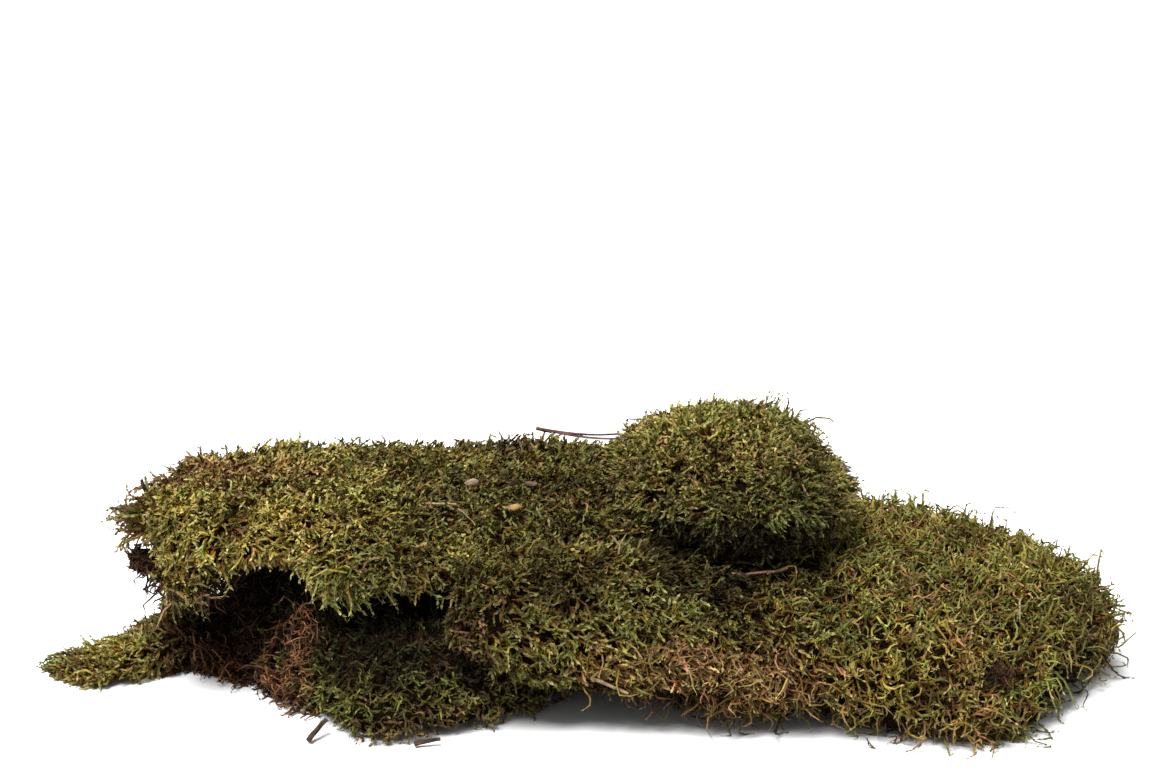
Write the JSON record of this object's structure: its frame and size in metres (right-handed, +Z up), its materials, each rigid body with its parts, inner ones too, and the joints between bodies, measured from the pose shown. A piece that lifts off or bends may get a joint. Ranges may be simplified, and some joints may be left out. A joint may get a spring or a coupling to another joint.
{
  "type": "moss clump",
  "caption": "Heap of torn sheet-moss mats with a dense lump on top and dry twigs, scales and pine needles caught in it; rests flat on a shelf, terrarium bed or tray.",
  "frame": {"origin": "on the surface it rests on, under the middle of the heap", "axes": "+X runs along the heap to the end of the long mat, -Y is the front, +Z up"},
  "size_m": [0.4927, 0.2072, 0.1138],
  "materials": {
    "olive_moss": "dry yellow-olive moss shoots",
    "green_moss": "olive green moss shoots with pale tips",
    "brown_moss": "deep green moss over brown roots",
    "soil": "crumbly dark soil",
    "dry_wood": "dry weathered twig",
    "straw": "dry pale stalk",
    "dry_scale": "dry papery bud scale",
    "pine_needle": "dry red-brown needle"
  },
  "bodies": {
    "root": {"upper_mat": "olive_moss", "top_cushion": "green_moss", "right_mat": "green_moss", "left_mat": "brown_moss", "left_tongue": "olive_moss", "soil_clod": "soil", "dark_clod": "soil", "bark_chip": "dry_wood", "brown_twig": "dry_wood", "red_stem": "dry_wood", "twig_stub": "dry_wood", "root_bit": "dry_wood", "straw_stalk": "straw", "straw_tip": "straw", "pale_stick": "straw", "tan_stick": "straw", "forked_stem": "straw", "bud_scale": "dry_scale", "leaf_scrap": "dry_scale", "red_scale": "dry_scale", "brown_scale": "dry_scale", "pine_needle_pair": "pine_needle"}
  },
  "joints": []
}
